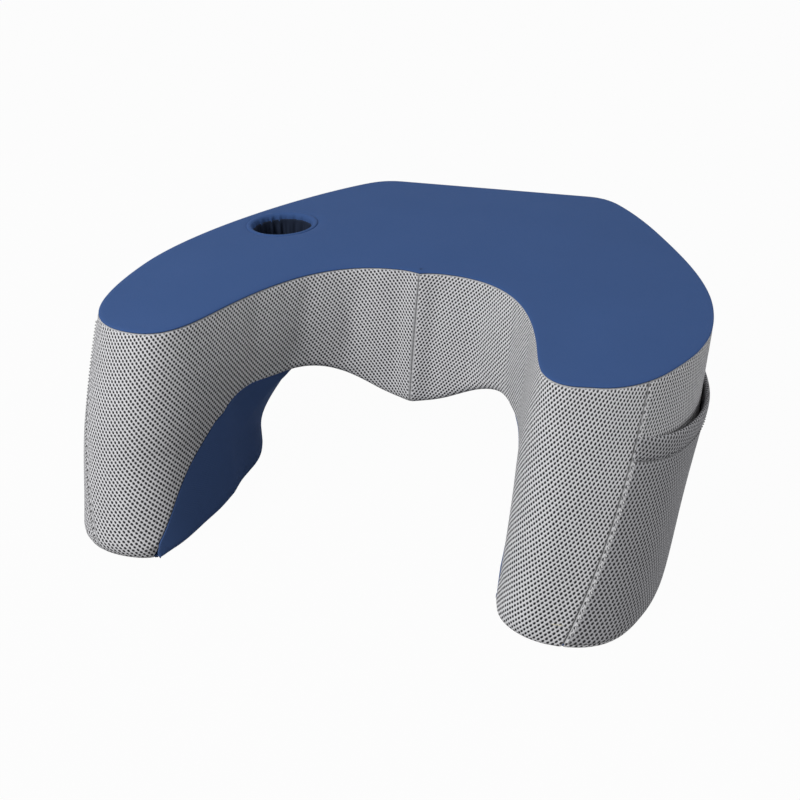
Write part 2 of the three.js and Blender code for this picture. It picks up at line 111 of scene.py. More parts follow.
# Panels of the wall
FRONT_SEAM_TOP, FRONT_SEAM_FOOT = 0.0710, 0.0165
MESH = 0.0022
UNDER_CLOTH = 0.0014
FOAM_SET_IN = 0.0035
SEAM_ROLL = 0.0024
UNDER_ROLL = 0.0075
BELLY_ROLL_FROM, REAR_ROLL_TO = (0.86, 0.95), (0.16, 0.30)
CELL = 0.0055
BORDER = np.array([0, 0.0006, 0.0014, 0.0026, 0.0045])
FRONT_RISE, SIDE_RISE, REAR_RISE, REAR_UPPER_RISE, POCKET_RISE = 0.003, 0.0015, 0.0015, 0.0012, 0.0006

# Side pocket
POCKET_WIDTH = 0.215
POCKET_SET_BACK = 0.002
POCKET_BOTTOM = 0.003
POCKET_LIP = 0.150
POCKET_HEM = 0.017
POCKET_STAND = 0.0055
POCKET_RECESS = 0.0040
POCKET_CLEAR = 0.0012
LIP_RISE, LIP_SAG = 0.024, 0.019
HEM_HALF, HEM_PUFF = 0.0019, 0.0010

# The two sides differ a little, as they do in the photograph
RIGHT_TAPER = (-0.004, 0.0085)
RIGHT_TAPER_FROM = (-0.02, 0.15)
RIGHT_SIDE_OVER = (0.27, 0.47), (0.52, 0.61)
RIGHT_SHORT = (0.006, 0.013)
RIGHT_TIP_FROM, RIGHT_TIP_TOP_FROM, RIGHT_TIP_TO = (0.64, 0.71), (0.56, 0.68), (0.70, 0.77)
RIGHT_TUCK = 0.1
RIGHT_TUCK_OVER = (0.27, 0.47), (0.70, 0.76)
LEFT_SLIM = 0.009
LEFT_SLIM_OVER = (0.40, 0.50), (0.62, 0.71)
LEFT_SLIM_TO = (0.0, 0.11)

# Zip
ZIP_AT = 0.150
ZIP_SLOT = 0.010


# Mesh making

def grid_faces(rows, columns):
    """Quads of a grid of points, row after row."""
    return [(r * columns + c, r * columns + c + 1, (r + 1) * columns + c + 1, (r + 1) * columns + c)
            for r in range(rows - 1) for c in range(columns - 1)]


def make_object(name, points, faces, weave=None, edge=None):
    """A smooth mesh object, with its pattern coordinates in metres and how near each point is to a seam."""
    mesh = bpy.data.meshes.new(name)
    mesh.from_pydata(np.asarray(points, float).reshape(-1, 3).tolist(), [], faces)
    if weave is not None:
        corners = np.empty(len(mesh.loops), np.int32)
        mesh.loops.foreach_get("vertex_index", corners)
        layer = mesh.uv_layers.new(name="weave")
        layer.data.foreach_set("uv", np.asarray(weave, float).reshape(-1, 2)[corners].ravel())
    attribute = mesh.attributes.new("edge", "FLOAT", "POINT")
    if edge is not None:
        attribute.data.foreach_set("value", np.asarray(edge, np.float32).ravel())
    mesh.shade_smooth()
    mesh.validate()
    obj = bpy.data.objects.new(name, mesh)
    bpy.context.scene.collection.objects.link(obj)
    return obj


def make_grid(name, points, weave=None, edge=None):
    """A mesh object from rows and columns of points."""
    return make_object(name, points, grid_faces(*points.shape[:2]), weave, edge)


def weld(obj, distance=1e-5):
    """Joins points that lie together, such as the two ends of a ring."""
    work = bmesh.new()
    work.from_mesh(obj.data)
    bmesh.ops.remove_doubles(work, verts=work.verts, dist=distance)
    bmesh.ops.recalc_face_normals(work, faces=work.faces)
    work.to_mesh(obj.data)
    work.free()


def face_along(obj, direction):
    """Turns the faces so that, taken together, they look along the given direction at each point."""
    mesh = obj.data
    total = sum(p.area * p.normal.dot(Vector(direction(p.center))) for p in mesh.polygons)
    if total < 0:
        mesh.flip_normals()


def face_up(obj, up=1):
    face_along(obj, lambda centre: (0, 0, up))


def thicken(obj, thickness):
    """Gives a sheet its thickness, inward from the faces that show."""
    solid = obj.modifiers.new("thickness", "SOLIDIFY")
    solid.thickness = thickness
    solid.offset = -1
    solid.use_even_offset = False


def place(obj, material, slot, *nodes):
    """Dresses a piece, rides it on the cushion and hides the solids it stands for."""
    obj.data.materials.append(material)
    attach(obj, "cushion")
    if nodes:
        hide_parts(*nodes)


def cloth_piece(obj, thickness, material, slot, node):
    thicken(obj, thickness)
    place(obj, material, slot, node)
    weave = np.empty(len(obj.data.loops) * 2)
    obj.data.uv_layers["weave"].data.foreach_get("uv", weave)


# The cushion's shape

def ramp(value, start, end):
    """A smooth step from 0 at start to 1 at end."""
    t = np.clip((value - start) / (end - start), 0, 1)
    return t * t * (3 - 2 * t)


def window(value, rise, fall):
    """1 between a smooth rise and a smooth fall, and 0 beyond them."""
    return ramp(value, *rise) * (1 - ramp(value, *fall))


def mix(first, second, share):
    return first + (second - first) * share


def unit(vectors):
    return vectors / np.maximum(np.linalg.norm(vectors, axis=-1, keepdims=True), 1e-9)


def way_along(points):
    """Distance along a line of points, from its start."""
    return np.r_[0, np.cumsum(np.linalg.norm(np.diff(points, axis=0), axis=1))]


def bezier(points, count=1500):
    """Points along a straight, quadratic or cubic curve."""
    t = np.linspace(0, 1, count)[:, None]
    degree = len(points) - 1
    return sum(math.comb(degree, k) * t**k * (1 - t)**(degree - k) * np.array(p, float)
               for k, p in enumerate(points))


def half_plan():
    """Plan of the user's right half at the work surface, from the middle of the rear edge to the belly seam:
    its points, the distance along it, and where each of its curves ends."""
    def at(x, forward):
        return np.array([x, -forward])

    rear, rear_end, corner, widest = at(0, 0), at(REAR_HALF, 0), at(*CORNER), at(*WIDEST)
    tip, waist, belly, seam = at(TIP_X, TOP_DEPTH), at(*WAIST), at(*BELLY), at(0, BELLY[1] + CUSP)
    sideways, forward = at(1, 0), at(0, 1)
    side, arm = (at(math.sin(splay), math.cos(splay)) for splay in (SIDE_SPLAY, ARM_SPLAY))
    bends = [
        (rear_end, sideways, REAR_HANDLES, side, corner),
        (corner, side, SIDE_HANDLES, forward, widest),
        (widest, forward, TIP_HANDLES, -sideways, tip),
        (tip, -sideways, ARM_HANDLES, -arm, waist),
        (waist, -arm, BELLY_HANDLES, -sideways, belly),
    ]
    curves = [[a, a + start * way_a, b - stop * way_b, b] for a, way_a, (start, stop), way_b, b in bends]
    curves = [[rear, rear_end]] + curves + [[belly, at(BELLY[0] / 2, BELLY[1]), seam]]
    runs = [bezier(curve) for curve in curves]
    points = np.vstack([runs[0]] + [run[1:] for run in runs[1:]])
    along = way_along(points)
    ends = along[np.cumsum([len(run) - 1 for run in runs])]
    return points, along, ends


PLAN, PLAN_AT, PLAN_ENDS = half_plan()
REAR_END_AT, CORNER_AT, _, TIP_AT, WAIST_AT, _, BELLY_SEAM_AT = PLAN_ENDS


def plan_at(distance):
    """x and y of the plan at some distances round it."""
    return np.interp(distance, PLAN_AT, PLAN[:, 0]), np.interp(distance, PLAN_AT, PLAN[:, 1])


def front_seam(z):
    """How far round the plan the seam between the front and side meshes stands at a height."""
    return TIP_AT - mix(FRONT_SEAM_FOOT, FRONT_SEAM_TOP, np.clip(z / HEIGHT, 0, 1))


def pocket_share(s, z):
    """How far back along the pocket a point lies, from 0 at the front seam to 1 at its rear end."""
    return np.clip((front_seam(z) - POCKET_SET_BACK - s) / POCKET_WIDTH, 0, 1)


def pocket_lip(s):
    """Height of the pocket's lip, which drops from the front seam towards the rear."""
    return POCKET_LIP + LIP_RISE * (1 - pocket_share(s, POCKET_LIP))**2 - LIP_SAG


def pocket_open(s, z):
    """How far the pocket stands open at a point, from 0 at its sewn edges to 1 at the middle of its lip."""
    lip = pocket_lip(s)
    up = (z - POCKET_BOTTOM) / (lip - POCKET_BOTTOM)
    down = (WALL_TOP - z) / (WALL_TOP - lip)
    return np.clip(np.minimum(up**3, down), 0, 1) * np.sin(math.pi * pocket_share(s, z))


def settle(points):
    """The feet spread inward a little where they stand."""
    x, y, z = points[..., 0] - MIDDLE, points[..., 1] - REAR, points[..., 2]
    right, left = (mix(*FOOT_LEAN[side], ramp(-y, *LEAN_TIP_FROM)) for side in (1, -1))
    lean = np.where(x > 0, right, left) * np.clip(1 - z / LEAN_HEIGHT, 0, 1)**LEAN_POWER
    lean = lean * window(np.abs(x), *LEAN_OVER) * ramp(-y, *LEAN_FROM)
    points[..., 0] -= np.sign(x) * lean
    return points


def under_roll(s):
    """How far the mesh turns under the cushion at its lower edge: over the thighs, but not on the legs."""
    a = np.abs(s)
    return UNDER_ROLL * np.maximum(ramp(a, *BELLY_ROLL_FROM), 1 - ramp(a, *REAR_ROLL_TO))


def wall(s, z, inset=0.0, settled=True):
    """Points of the cushion's side: s round the plan, negative on the user's left, and z up."""
    s, z = np.broadcast_arrays(np.asarray(s, float), np.asarray(z, float))
    side, a = np.where(s < 0, -1.0, 1.0), np.abs(s)
    (x, y), (x1, y1), (x0, y0) = plan_at(a), plan_at(a + PROBE), plan_at(a - PROBE)
    length = np.hypot(x1 - x0, y1 - y0)
    at_rear, at_belly = a < PROBE, a > BELLY_SEAM_AT - PROBE
    out_x = np.where(at_rear | at_belly, 0.0, -(y1 - y0) / length)
    out_y = np.where(at_rear, 1.0, np.where(at_belly, -1.0, (x1 - x0) / length))
    level = np.clip(z / HEIGHT, 0, 1)
    stretch = 1 + FOOT_REACH / TOP_DEPTH * (1 - z / HEIGHT)
    right_side = window(s, *RIGHT_SIDE_OVER)
    tip_from = [mix(foot, top, level) for foot, top in zip(RIGHT_TIP_FROM, RIGHT_TIP_TOP_FROM)]
    right_tip = window(s, tip_from, RIGHT_TIP_TO)
    swell = WALL_BULGE * ramp(a, REAR_END_AT, CORNER_AT + BULGE_PAST_CORNER) * np.sin(math.pi * level)
    fall = np.clip(FOOT_ROUND - np.maximum(z, SOLE_AT), 0, None)
    tuck = (FOOT_ROUND - np.sqrt(FOOT_ROUND**2 - fall**2)) * (1 - ramp(a, TIP_AT, (TIP_AT + WAIST_AT) / 2))
    tuck = tuck * (1 - (1 - RIGHT_TUCK) * window(s, *RIGHT_TUCK_OVER))
    proud = right_side * mix(*RIGHT_TAPER, ramp(z, *RIGHT_TAPER_FROM)) - right_tip * mix(*RIGHT_SHORT, level)
    slim = LEFT_SLIM * window(-s, *LEFT_SLIM_OVER) * (1 - ramp(z, *LEFT_SLIM_TO))
    recess = np.where(s > 0, POCKET_RECESS * pocket_open(s, z), 0)
    out = swell * (1 - right_side) - tuck - inset + proud - slim - recess
    points = np.stack([MIDDLE + side * (x + out_x * out), REAR + y * stretch + out_y * out, z], -1)
    return settle(points) if settled else points


def wall_outward(s, z, inset=0.0):
    """The way out of the wall at some of its points."""
    return wall(s, z, inset - 0.001) - wall(s, z, inset)


# Inner face of each leg in plan. The mesh reaches further round the front of the right leg.
LEG_FRONT = {1: [(0.178, -0.592), (0.164, -0.540), (0.152, -0.480), (LEG_GAP, -0.452)],
             -1: [(0.187, -0.580), (0.171, -0.560), (0.160, -0.505), (LEG_GAP, -0.452)]}
LEG_FLARE = bezier([(LEG_GAP, -0.400), (LEG_GAP, -0.340), (0.232, -0.260), (0.306, -0.200)])
LEG_FACE = {side: np.vstack([[(front[0][0], -0.652)], bezier(front), LEG_FLARE, [(0.306, 0.060)]])
            for side, front in LEG_FRONT.items()}
HUMP_CURVE = bezier([(0, HUMP), (0.048, HUMP - 0.001), (0.066, CREST - 0.014), (CREST_AT, CREST)])


def rear_lean(y, z):
    """How far forward the rear end of a leg has sloped at a height, in the distance along the desk."""
    return REAR_LEAN * np.clip(1 - z / CREST, 0, 1) * ramp(y, *REAR_LEAN_FROM)


def thigh_sizes(y, z, side):
    """How far out a leg's inner face stands along the desk, and its shoulder's width and drop."""
    reach = np.interp(y + rear_lean(y, z), LEG_FACE[side][:, 1], LEG_FACE[side][:, 0])
    rear = ramp(y, *SHOULDER_FROM)
    width, drop = (mix(front, back, rear) for front, back in zip(SHOULDER_FRONT, SHOULDER_REAR))
    return reach, width, drop


def hump_height(x):
    return np.interp(x, HUMP_CURVE[:, 0], HUMP_CURVE[:, 1])


def thigh_ceiling(x, y, z, side):
    """Height of the underside over a point of the plan."""
    reach, width, drop = thigh_sizes(y, z, side)
    share = np.clip((x - reach + width) / width, 0, 1)
    return np.where(x < reach, hump_height(x) - drop * (1 - np.sqrt(1 - share**2)), 0)


def thigh_section(p, y, side, fillet):
    """Points of the underside. p runs 0-1 over hump and crest, 1-2 shoulder, 2-3 leg face, 3-4 sole edge."""
    turn = np.clip(p - 1, 0, 1) * math.pi / 2
    roll = np.clip(p - 3, 0, 1) * math.pi / 2
    z = CREST
    for _ in range(3):
        reach, width, drop = thigh_sizes(y, z, side)
        x = np.clip(p, 0, 1) * (reach - width) + width * np.sin(turn)
        z = hump_height(x) - drop * (1 - np.cos(turn))
        z = z + np.clip(p - 2, 0, 1) * (FOOT_FILLET - z)
        z = np.where(p > 3, FOOT_FILLET * (1 - np.sin(roll)), z)
    return x + fillet * (1 - np.cos(roll)), z


def section_place(x, y, z, side):
    """The section's p at a point of the underside's border."""
    reach, width, drop = thigh_sizes(y, z, side)
    share = np.clip((x - reach + width) / width, 0, 1)
    top = hump_height(reach) - drop
    down = np.clip((top - z) / (top - FOOT_FILLET), 0, 1)
    shoulder = 1 + np.arcsin(share) / (math.pi / 2)
    return np.where(share <= 0, x / (reach - width), np.where(x < reach - 0.0004, shoulder, 2 + down))


def lower_edges(side, count=2400, levels=1200, lots=12, blur=9):
    """Where the wall meets the underside, round one half of the plan: stations, heights and slopes."""
    s = np.linspace(0, BELLY_SEAM_AT, count)
    z = np.linspace(WALL_TOP, 0, levels)
    edge = np.empty(count)
    for lot in np.array_split(np.arange(count), lots):
        points = wall(side * s[lot, None], z[None, :], under_roll(s[lot, None]), settled=False)
        x, y = side * (points[..., 0] - MIDDLE), points[..., 1] - REAR
        over = z < thigh_ceiling(x, y, points[..., 2], side)
        edge[lot] = np.where(over.any(1), z[over.argmax(1)], 0)
    smooth = np.convolve(np.pad(edge, blur // 2, mode="edge"), np.ones(blur) / blur, "valid")
    return s, edge, np.gradient(smooth, s)


EDGES = {side: lower_edges(side) for side in (1, -1)}
STEEPEST = 6


def by_side(s, column):
    """Reads a column of the lower edges at some stations of either side."""
    left, right = (np.interp(np.abs(s), EDGES[side][0], EDGES[side][column]) for side in (-1, 1))
    return np.where(np.asarray(s) < 0, left, right)


def lower_edge(s):
    return by_side(s, 1)


def edge_slope(s):
    return np.minimum(np.abs(by_side(s, 2)), STEEPEST)


# Cloth

CLOTH_PRESSURE, CLOTH_FRAMES = 4.0, 20

# Rows and columns of the simulated cloth
ROUGH_ROWS, ROUGH_COLUMNS = 22, 44

# Slopes over which the lower seam of a panel goes from rolled to flush, and widths of a seam's plain edge
FLUSH_FROM = (1.5, 4.0)
PLAIN_TO = (0.0005, 0.0016)


def cubic(field, row, column):
    """Reads a grid of values smoothly between its points."""
    total = 0
    split = []
    for at, size in ((row, field.shape[0]), (column, field.shape[1])):
        base = np.clip(np.floor(at), 0, size - 2).astype(int)
        t = at - base
        weights = [((2 - t) * t - 1) * t / 2, ((3 * t - 5) * t * t + 2) / 2,
                   ((4 - 3 * t) * t + 1) * t / 2, (t - 1) * t * t / 2]
        split.append([(np.clip(base + k - 1, 0, size - 1), w) for k, w in enumerate(weights)])
    for r, row_weight in split[0]:
        for c, column_weight in split[1]:
            total = total + row_weight * column_weight * field[r, c]
    return total


def blow_up(points, outward, most):
    """Swells a sewn panel by simulating it as cloth held round its border. Returns each grid point's rise."""
    rows, columns = points.shape[:2]
    v, u = np.meshgrid(np.linspace(0, 1, rows), np.linspace(0, 1, columns), indexing="ij")
    obj = make_grid("cloth_trial", points)
    face_along(obj, lambda centre: outward.mean((0, 1)))
    border = [int(i) for i in np.flatnonzero(((u == 0) | (u == 1) | (v == 0) | (v == 1)).ravel())]
    obj.vertex_groups.new(name="sewn").add(border, 1.0, "REPLACE")
    cloth = obj.modifiers.new("cloth", "CLOTH")
    cloth.settings.vertex_group_mass = "sewn"
    cloth.settings.use_pressure = True
    cloth.settings.uniform_pressure_force = CLOTH_PRESSURE
    cloth.settings.effector_weights.gravity = 0
    cloth.point_cache.frame_start = 1
    cloth.point_cache.frame_end = CLOTH_FRAMES
    for number in range(1, CLOTH_FRAMES + 1):
        bpy.context.scene.frame_set(number)
    shape = obj.evaluated_get(bpy.context.evaluated_depsgraph_get()).data
    moved = np.empty(rows * columns * 3)
    shape.vertices.foreach_get("co", moved)
    rise = ((moved.reshape(points.shape) - points) * outward).sum(-1)
    bpy.data.objects.remove(obj)
    bpy.context.scene.frame_set(1)
    return rise * min(1, most / max(rise.max(), 1e-6))


def spread(length, step):
    """Distances over a length, closer together at both ends. length may differ from line to line."""
    inner = np.linspace(0, 1, max(3, int(np.max(length) / step)))[1:-1]
    room = np.asarray(length)[..., None]
    low = np.broadcast_to(BORDER, room.shape[:-1] + BORDER.shape)
    return np.concatenate([low, BORDER[-1] + inner * (room - 2 * BORDER[-1]), room - low[..., ::-1]], -1)


def columns_for(start, end, step):
    """Stations round the plan, closer together where the lower edge of the wall is steep."""
    s = np.linspace(start, end, 1500)
    weight = 1 + 0.6 * edge_slope(s)
    way = np.r_[0, np.cumsum((weight[1:] + weight[:-1]) / 2 * np.abs(np.diff(s)))]
    inner = np.interp(np.linspace(0, way[-1], int(way[-1] / step)), way, s)[1:-1]
    turn = 1 if end > start else -1
    room = BORDER[-1] + step / 3
    inner = inner[(np.abs(inner - start) > room) & (np.abs(end - inner) > room)]
    return np.concatenate([start + turn * BORDER, inner, end - turn * BORDER[::-1]])


def seam_roll(distance, radius=SEAM_ROLL):
    """How deep a panel turns in at a distance from its sewn border, in a quarter round."""
    share = np.clip(1 - distance / radius, 0, 1)
    return radius * (1 - np.sqrt(1 - share**2))


def on_wall(s, z):
    return np.zeros(np.shape(z))


def wall_panel(name, ends, bottom, top, rise, stand=on_wall):
    """One cover panel of the wall. ends gives its two sides at a height, bottom and top its edges, rise how
    far it swells, and stand how far it stands off the wall."""
    side_a, side_b = ends(np.array(HEIGHT / 2))
    stations = columns_for(float(side_a), float(side_b), CELL)
    share = (stations - side_a) / (side_b - side_a)
    low_mid, high_mid = bottom(stations), top(stations)
    level = spread(high_mid - low_mid, CELL * 0.9).T / np.maximum(high_mid - low_mid, 1e-4)

    def at(share, level):
        """Station and height of a grid of shares across and levels up."""
        z = low_mid.mean() + 0 * level
        s = z
        for _ in range(14):
            a, b = ends(z)
            s = a + share * (b - a)
            z = bottom(s) + level * (top(s) - bottom(s))
        return s, z

    s, z = at(np.broadcast_to(share, level.shape), level)
    a, b = ends(z)
    to_sides = np.minimum(np.abs(s - a), np.abs(b - s))
    to_low, to_high = z - bottom(s), top(s) - z
    flush, low_roll = 0, SEAM_ROLL
    if bottom is lower_edge:
        slope = edge_slope(s)
        to_low = to_low / np.sqrt(1 + slope**2)
        flush = ramp(slope, *FLUSH_FROM) * (np.abs(s) < TIP_AT)
        low_roll = np.maximum(under_roll(s), SEAM_ROLL)
    turn = seam_roll(np.minimum(to_sides, to_high)) + (1 - flush) * seam_roll(to_low, low_roll)
    rough_share, rough_level = np.meshgrid(np.linspace(0, 1, ROUGH_COLUMNS), np.linspace(0, 1, ROUGH_ROWS))
    rough = at(rough_share, rough_level)
    outward = unit(wall_outward(*rough, -stand(*rough)))
    puff = blow_up(wall(*rough, -stand(*rough)), outward, rise)
    swell = cubic(puff, level * (ROUGH_ROWS - 1), (s - a) / (b - a) * (ROUGH_COLUMNS - 1))
    points = wall(s, z, turn - swell - stand(s, z))
    side = -1 if side_a + side_b < 0 else 1
    weave = np.stack([BELLY_SEAM_AT - side * s, z], -1)
    edge = 1 - ramp(np.minimum.reduce([to_sides, to_low, to_high]), *PLAIN_TO)
    obj = make_grid(name, points, weave, edge)
    outward = wall_outward(s, z, -stand(s, z)).reshape(-1, 3)
    if sum(p.normal.dot(Vector(outward[p.vertices[0]])) for p in obj.data.polygons) < 0:
        obj.data.flip_normals()
    return obj


# Materials

class Shader:
    """A material whose nodes are added one by one."""

    def __init__(self, name, surface):
        self.material = bpy.data.materials.new(name)
        self.material.use_nodes = True
        self.tree = self.material.node_tree
        self.surface = self.tree.nodes["Principled BSDF"]
        self.fill(self.surface, surface)

    def node(self, kind):
        return self.tree.nodes.new("ShaderNode" + kind)

    def put(self, socket, value):
        """Gives a socket a number, a tuple or another node's output. None leaves it as it is."""
        if isinstance(value, bpy.types.NodeSocket):
            self.tree.links.new(value, socket)
        elif value is not None:
            socket.default_value = value

    def fill(self, node, values):
        """Gives sockets of a node their values, by name or number."""
        for socket, value in values.items():
            self.put(node.inputs[socket], value)

    def add(self, kind, values=(), **settings):
        """Adds a node, with values for its sockets in order."""
        node = self.node(kind)
        for key, value in settings.items():
            setattr(node, key, value)
        self.fill(node, dict(enumerate(values)))
        return node.outputs[0]

    def math(self, operation, *values):
        return self.add("Math", values, operation=operation)

    def vector(self, operation, *values):
        output = self.add("VectorMath", values, operation=operation)
        return output.node.outputs["Value"] if operation in ("LENGTH", "DOT_PRODUCT") else output

    def between(self, value, low, high, to_low=0.0, to_high=1.0):
        return self.add("MapRange", (value, low, high, to_low, to_high), interpolation_type="SMOOTHSTEP")

    def blend(self, factor, first, second):
        """Blends two colours. A Mix node keeps those of its sockets for colours at 6 and 7."""
        node = self.node("Mix")
        node.data_type = "RGBA"
        self.fill(node, {0: factor, 6: first, 7: second})
        return node.outputs[2]

    def weave(self):
        node = self.node("UVMap")
        node.uv_map = "weave"
        return node.outputs[0]

    def loops(self, gauge):
        """Pattern coordinates across and along, counted so that a stitch of the gauge is one full turn."""
        node = self.node("SeparateXYZ")
        self.put(node.inputs[0], self.vector("SCALE", self.weave(), None, None, 2 * math.pi / gauge))
        return node.outputs[0], node.outputs[1]

    def attribute(self, name):
        node = self.node("Attribute")
        node.attribute_name = name
        return node.outputs["Fac"]

    def noise(self, vector, scale, detail=2.0):
        node = self.node("TexNoise")
        self.fill(node, {"Vector": vector, "Scale": scale, "Detail": detail})
        return node.outputs["Fac"]

    def place(self):
        return self.node("TexCoord").outputs["Object"]

    def finish(self, colour, height=None, depth=0.0005, roughness=None):
        """Joins colour, roughness and a relief of the given depth to the surface."""
        self.fill(self.surface, {"Base Color": colour, "Roughness": roughness})
        if height is not None:
            bump = self.node("Bump")
            self.fill(bump, {"Strength": 1.0, "Distance": depth, "Height": height})
            self.put(self.surface.inputs["Normal"], bump.outputs[0])
        return self.material


def rgb(red, green, blue):
    return (red, green, blue, 1.0)


# Eyelets of the mesh: spacing along a row, spacing of the rows, and the tilt of the rows in degrees
EYELET_ROW, EYELET_PITCH, EYELET_TILT = 0.00395, 0.0028, 9.0

# An eyelet is an oval: its two axes, each divided by its stretch, and its edge in millimetres from the middle
EYELET_LONG, EYELET_SHORT = (-0.5 / 1.2, 0.866 / 1.2, 0), (0.866 / 0.88, 0.5 / 0.88, 0)
EYELET_EDGE = (0.72, 1.50)


def spacer_mesh(name, yarn, hole, hem):
    """Knitted spacer mesh: rows of oval eyelets on staggered columns, plain where folded into a seam."""
    shader = Shader(name, {"Roughness": 0.82, "Specular IOR Level": 0.2})
    weave = shader.weave()
    tilt = math.radians(EYELET_TILT)
    across = shader.vector("DOT_PRODUCT", weave, (-math.cos(tilt), math.sin(tilt), 0))
    up = shader.vector("DOT_PRODUCT", weave, (math.sin(tilt), math.cos(tilt), 0))
    wobble = shader.math("MULTIPLY_ADD", shader.noise(shader.place(), 260.0, 1.0), 0.12, -0.06)
    place = shader.add("CombineXYZ", (shader.math("MULTIPLY_ADD", across, 1 / EYELET_ROW, wobble),
                                      shader.math("MULTIPLY_ADD", up, 0.5 / EYELET_PITCH, wobble), 0.0))
    distances = []
    for offset in (0.0, 0.5):
        moved = shader.vector("ADD", place, (offset, offset, 0))
        cell = shader.vector("SUBTRACT", shader.vector("FRACTION", moved), (0.5, 0.5, 0))
        flat = shader.vector("MULTIPLY", cell, (EYELET_ROW * 1000, 2 * EYELET_PITCH * 1000, 0))
        oval = [shader.vector("DOT_PRODUCT", flat, axis) for axis in (EYELET_LONG, EYELET_SHORT)]
        distances.append(shader.vector("LENGTH", shader.add("CombineXYZ", (*oval, 0.0))))
    nearest = shader.math("MINIMUM", *distances)
    fold = shader.attribute("edge")
    yarn_share = shader.math("MAXIMUM", shader.between(nearest, *EYELET_EDGE), fold)
    patch = shader.noise(shader.place(), 22.0, 3.0)
    fibre = shader.noise(shader.place(), 1400.0, 2.0)
    light = shader.math("MULTIPLY_ADD", patch, 0.16, 0.84)
    light = shader.math("MULTIPLY_ADD", fibre, 0.22, light)
    thread = shader.blend(fold, yarn, hem)
    colour = shader.blend(yarn_share, hole, shader.vector("SCALE", thread, None, None, light))
    height = shader.math("MULTIPLY_ADD", fibre, 0.15, yarn_share)
    return shader.finish(colour, height, 0.0006)


def knit(name, colour, dark, gauge=0.0011):
    """Plain knitted fabric: fine ribs of loops, with slow changes of tone."""
    shader = Shader(name, {"Roughness": 0.82, "Specular IOR Level": 0.12, "Sheen Weight": 0.03,
                           "Sheen Roughness": 0.4, "Sheen Tint": rgb(0.4, 0.6, 1.0)})
    across, along = shader.loops(gauge)
    rib = shader.math("SINE", across)
    lean = shader.math("ABSOLUTE", shader.math("SINE", shader.math("MULTIPLY", across, 0.5)))
    loop = shader.math("SINE", shader.math("MULTIPLY_ADD", lean, 2.2, along))
    height = shader.math("MULTIPLY_ADD", loop, 0.25, shader.math("MULTIPLY_ADD", rib, 0.25, 0.5))
    patch = shader.noise(shader.place(), 9.0, 4.0)
    fibre = shader.noise(shader.place(), 900.0, 2.0)
    tone = shader.math("MULTIPLY_ADD", patch, 0.5, shader.math("MULTIPLY", fibre, 0.25))
    tone = shader.math("MULTIPLY_ADD", height, 0.3, tone)
    return shader.finish(shader.blend(tone, dark, colour), height, 0.00012)


def foam():
    """Open-cell foam."""
    shader = Shader("foam", {"Roughness": 0.9})
    cells = shader.node("TexVoronoi")
    shader.fill(cells, {"Vector": shader.place(), "Scale": 420.0})
    distance = cells.outputs["Distance"]
    colour = shader.blend(shader.between(distance, 0.1, 0.6), rgb(0.52, 0.46, 0.30), rgb(0.82, 0.76, 0.58))
    return shader.finish(colour, distance, 0.0006)


def woven_tape():
    """Twill tape of the zip."""
    shader = Shader("zip_tape", {"Roughness": 0.8})
    twill = shader.math("SINE", shader.math("ADD", *shader.loops(0.0009)))
    share = shader.math("MULTIPLY_ADD", twill, 0.5, 0.5)
    return shader.finish(shader.blend(share, rgb(0.10, 0.10, 0.11), rgb(0.20, 0.20, 0.21)), share, 0.0002)


def moulded_nylon():
    """Moulded teeth, a little uneven in gloss."""
    shader = Shader("zip_teeth", {"Base Color": rgb(0.09, 0.09, 0.10)})
    grain = shader.noise(shader.place(), 1800.0, 2.0)
    return shader.finish(None, grain, 0.00005, shader.between(grain, 0.2, 0.8, 0.34, 0.55))


def satin_zinc():
    """Plated zinc with a satin polish and fine marks of use."""
    shader = Shader("zip_metal", {"Base Color": rgb(0.45, 0.46, 0.48), "Metallic": 1.0})
    marks = shader.noise(shader.vector("MULTIPLY", shader.place(), (1, 6, 6)), 500.0, 4.0)
    return shader.finish(None, marks, 0.00003, shader.between(marks, 0.25, 0.75, 0.26, 0.44))


def sewing_thread(name, colour):
    """Twisted sewing thread."""
    shader = Shader(name, {"Roughness": 0.7})
    ply = shader.noise(shader.vector("MULTIPLY", shader.place(), (1, 1, 3)), 2500.0, 1.0)
    dark = rgb(*(0.7 * c for c in colour[:3]))
    return shader.finish(shader.blend(ply, dark, colour), ply, 0.0001)


GREY = spacer_mesh("spacer_mesh", rgb(0.66, 0.66, 0.68), rgb(0.020, 0.020, 0.023), rgb(0.44, 0.44, 0.45))
# The pocket is the walls' spacer mesh painted darker: painted shade for the side that faces away from the key
# lamp
SHADED_POCKET_GREY = spacer_mesh("pocket_mesh", rgb(0.41, 0.41, 0.43), rgb(0.018, 0.018, 0.02),
                        rgb(0.26, 0.26, 0.27))
BLUE = knit("top_fabric", rgb(0.047, 0.100, 0.262), rgb(0.035, 0.078, 0.207))
DARK_BLUE = knit("under_fabric", rgb(0.062, 0.116, 0.280), rgb(0.045, 0.087, 0.214))
# The cup's lining and pad are the top's blue knit painted near black: painted shade for the inside of the
# well
SHADED_LINING = knit("cup_lining", rgb(0.018, 0.027, 0.052), rgb(0.012, 0.018, 0.036))
FOAM = foam()
TAPE = woven_tape()
NYLON = moulded_nylon()
ZINC = satin_zinc()
PALE_THREAD = sewing_thread("pale_thread", rgb(0.66, 0.66, 0.67))
DARK_THREAD = sewing_thread("dark_thread", rgb(0.07, 0.07, 0.08))


# Foam inside the cover

# Where the foam stands further in than elsewhere: forward from the rear edge, out from the middle, and up
FOAM_TIP_FROM, FOAM_TIP_OUT_FROM = (0.39, 0.44), (0.12, 0.16)
FOAM_SLIM_FROM, FOAM_SLIM_TO = (0.18, 0.24), (0.03, 0.11)
FOAM_ARM_FROM = (0.24, 0.30)
FOAM_POCKET_FROM, FOAM_POCKET_TO = (0.20, 0.26), (0.38, 0.43)
FOAM_LEAN, FOAM_BELOW_CREST = 1.15, 0.004


